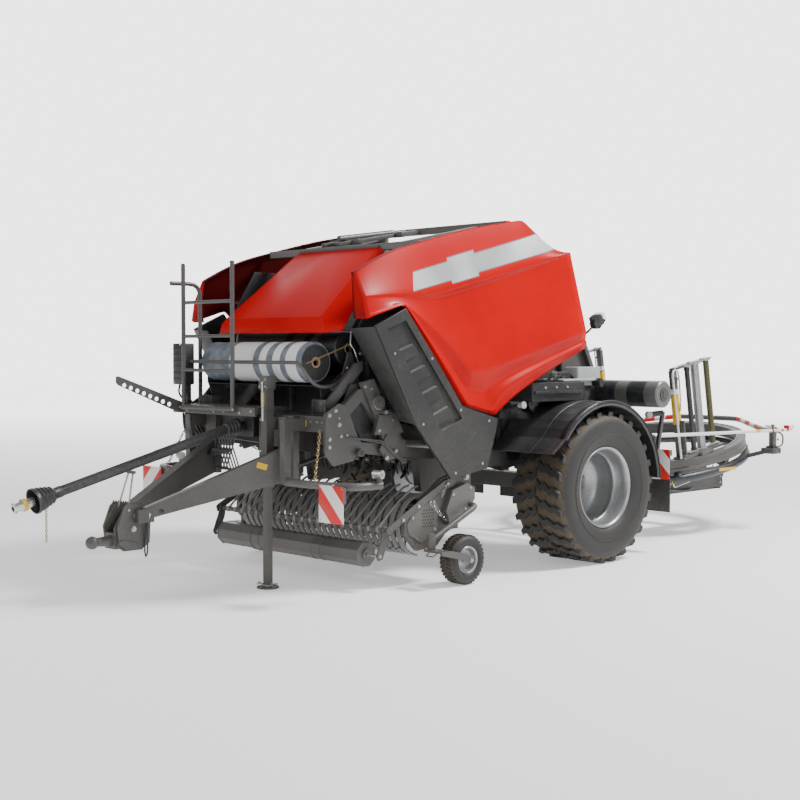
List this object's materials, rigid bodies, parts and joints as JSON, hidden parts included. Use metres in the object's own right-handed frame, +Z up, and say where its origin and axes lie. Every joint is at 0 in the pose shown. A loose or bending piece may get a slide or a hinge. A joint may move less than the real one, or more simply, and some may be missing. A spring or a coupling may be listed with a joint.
{
  "type": "round baler",
  "caption": "Trailed round baler with a bale wrapping ring behind it: tined pickup, roller chamber, lifting tailgate, red side panels and wide tyres.",
  "frame": {"origin": "middle of the overall box at ground level", "axes": "+X the machine's left side, -Y forward to the hitch, +Z up"},
  "size_m": [2.94, 8.69, 3.0164],
  "materials": {
    "frame_paint": "satin",
    "tyre_rubber": "matte",
    "rim_steel": "satin",
    "board_paint": "satin",
    "black_plastic": "matte",
    "dark_steel": "satin",
    "roll_film": "satin",
    "red_paint": "gloss",
    "tank_plastic": "satin",
    "roller_alloy": "satin"
  },
  "bodies": {
    "chassis": {"axle_beam": "frame_paint", "chassis_frame": "frame_paint", "drawbar": "frame_paint", "hitch_head": "frame_paint", "jack_housing": "frame_paint", "platform": "frame_paint", "handrail": "frame_paint", "hose_arm": "frame_paint", "warning_board_front_left": "board_paint", "warning_board_front_right": "board_paint", "warning_board_rear_left": "board_paint", "warning_board_rear_right": "board_paint", "rear_guard": "board_paint", "mudflap_left": "black_plastic", "mudflap_right": "black_plastic", "control_box": "black_plastic", "shield_left": "black_plastic", "shield_right": "black_plastic", "fender_left": "black_plastic", "fender_right": "black_plastic", "valve_box_left": "black_plastic", "valve_box_right": "black_plastic", "net_box": "dark_steel", "chamber_front": "dark_steel", "gearbox": "dark_steel", "ring_carrier": "dark_steel", "net_roll": "roll_film", "film_roll": "roll_film", "spare_roll_left": "roll_film", "spare_roll_right": "roll_film", "oil_tank": "tank_plastic"},
    "wheel_left": {"tyre_left": "tyre_rubber", "rim_left": "rim_steel"},
    "wheel_right": {"tyre_right": "tyre_rubber", "rim_right": "rim_steel"},
    "jack_leg": {"jack_leg": "frame_paint"},
    "pto_shaft": {"pto_guard": "black_plastic"},
    "pto_yoke": {"pto_yoke": "rim_steel"},
    "ladder": {"ladder": "frame_paint"},
    "front_hood": {"front_hood": "red_paint"},
    "side_panel_left": {"side_panel_left": "red_paint"},
    "side_panel_right": {"side_panel_right": "red_paint"},
    "tailgate": {"tailgate": "frame_paint"},
    "pickup": {"pickup_frame": "frame_paint", "pickup_bands": "frame_paint"},
    "pickup_reel": {"pickup_reel": "dark_steel"},
    "windguard": {"windguard": "dark_steel"},
    "windguard_roller": {"windguard_roller": "dark_steel"},
    "castor_left": {"castor_left": "frame_paint"},
    "castor_right": {"castor_right": "frame_paint"},
    "gauge_wheel_left": {"gauge_wheel_left": "tyre_rubber"},
    "gauge_wheel_right": {"gauge_wheel_right": "tyre_rubber"},
    "feed_rotor": {"feed_rotor": "dark_steel"},
    "wrap_ring": {"wrap_ring": "frame_paint", "prestretch_left": "roller_alloy", "prestretch_right": "roller_alloy"},
    "table_roller_front": {"table_roller_front": "dark_steel"},
    "table_roller_rear": {"table_roller_rear": "dark_steel"}
  },
  "joints": [
    {"name": "wheel_left_spin", "type": "hinge", "parent": "chassis", "child": "wheel_left", "pos_m": [1.17, 0.615, 0.672], "axis": [1, 0, 0], "continuous": true},
    {"name": "wheel_right_spin", "type": "hinge", "parent": "chassis", "child": "wheel_right", "pos_m": [-1.17, 0.615, 0.672], "axis": [1, 0, 0], "continuous": true},
    {"name": "jack_slide", "type": "slide", "parent": "chassis", "child": "jack_leg", "axis": [0, 0, 1], "range_m": [0, 0.38]},
    {"name": "shaft_pitch", "type": "hinge", "parent": "chassis", "child": "pto_shaft", "pos_m": [0, -2.365, 1.28], "axis": [-1, 0, 0], "range_deg": [0, 8]},
    {"name": "yoke_spin", "type": "hinge", "parent": "pto_shaft", "child": "pto_yoke", "pos_m": [0, -4.185, 0.80253], "axis": [0, -0.9673, -0.2538], "continuous": true},
    {"name": "ladder_tilt", "type": "hinge", "parent": "chassis", "child": "ladder", "pos_m": [0, -2.43, 1.41], "axis": [1, 0, 0], "range_deg": [0, 85]},
    {"name": "hood_lift", "type": "hinge", "parent": "chassis", "child": "front_hood", "pos_m": [0, -1.2773, 2.745], "axis": [-1, 0, 0], "range_deg": [0, 50]},
    {"name": "panel_left_lift", "type": "hinge", "parent": "chassis", "child": "side_panel_left", "pos_m": [0.97, -1.205, 2.8], "axis": [0, -0.9801, -0.1986], "range_deg": [0, 60]},
    {"name": "panel_right_lift", "type": "hinge", "parent": "chassis", "child": "side_panel_right", "pos_m": [-0.97, -1.205, 2.8], "axis": [0, 0.9801, 0.1986], "range_deg": [0, 60]},
    {"name": "tailgate_lift", "type": "hinge", "parent": "chassis", "child": "tailgate", "pos_m": [0, 0.115, 2.6], "axis": [1, 0, 0], "range_deg": [0, 60]},
    {"name": "pickup_lift", "type": "hinge", "parent": "chassis", "child": "pickup", "pos_m": [0, -0.845, 0.84], "axis": [-1, 0, 0], "range_deg": [0, 18]},
    {"name": "reel_spin", "type": "hinge", "parent": "pickup", "child": "pickup_reel", "pos_m": [0, -1.285, 0.47], "axis": [1, 0, 0], "continuous": true},
    {"name": "windguard_lift", "type": "hinge", "parent": "pickup", "child": "windguard", "pos_m": [0, -1.085, 0.8], "axis": [-1, 0, 0], "range_deg": [0, 15]},
    {"name": "windguard_roller_spin", "type": "hinge", "parent": "windguard", "child": "windguard_roller", "pos_m": [0, -1.795, 0.273], "axis": [1, 0, 0], "continuous": true},
    {"name": "castor_left_swivel", "type": "hinge", "parent": "pickup", "child": "castor_left", "pos_m": [1.22, -1.365, 0.3], "axis": [0, 0, 1], "range_deg": [-10, 10]},
    {"name": "castor_right_swivel", "type": "hinge", "parent": "pickup", "child": "castor_right", "pos_m": [-1.22, -1.365, 0.3], "axis": [0, 0, 1], "range_deg": [-10, 10]},
    {"name": "gauge_wheel_left_spin", "type": "hinge", "parent": "castor_left", "child": "gauge_wheel_left", "pos_m": [1.288, -1.085, 0.2025], "axis": [1, 0, 0], "continuous": true},
    {"name": "gauge_wheel_right_spin", "type": "hinge", "parent": "castor_right", "child": "gauge_wheel_right", "pos_m": [-1.288, -1.085, 0.2025], "axis": [1, 0, 0], "continuous": true},
    {"name": "feed_rotor_spin", "type": "hinge", "parent": "chassis", "child": "feed_rotor", "pos_m": [0, -0.785, 0.98], "axis": [1, 0, 0], "continuous": true},
    {"name": "wrap_ring_spin", "type": "hinge", "parent": "chassis", "child": "wrap_ring", "pos_m": [0, 3.065, 0.887], "axis": [0, -0.1693, 0.9856], "continuous": true},
    {"name": "table_roller_front_spin", "type": "hinge", "parent": "chassis", "child": "table_roller_front", "pos_m": [0, 2.795, 0.575], "axis": [1, 0, 0], "continuous": true},
    {"name": "table_roller_rear_spin", "type": "hinge", "parent": "chassis", "child": "table_roller_rear", "pos_m": [0, 3.335, 0.575], "axis": [1, 0, 0], "continuous": true}
  ]
}
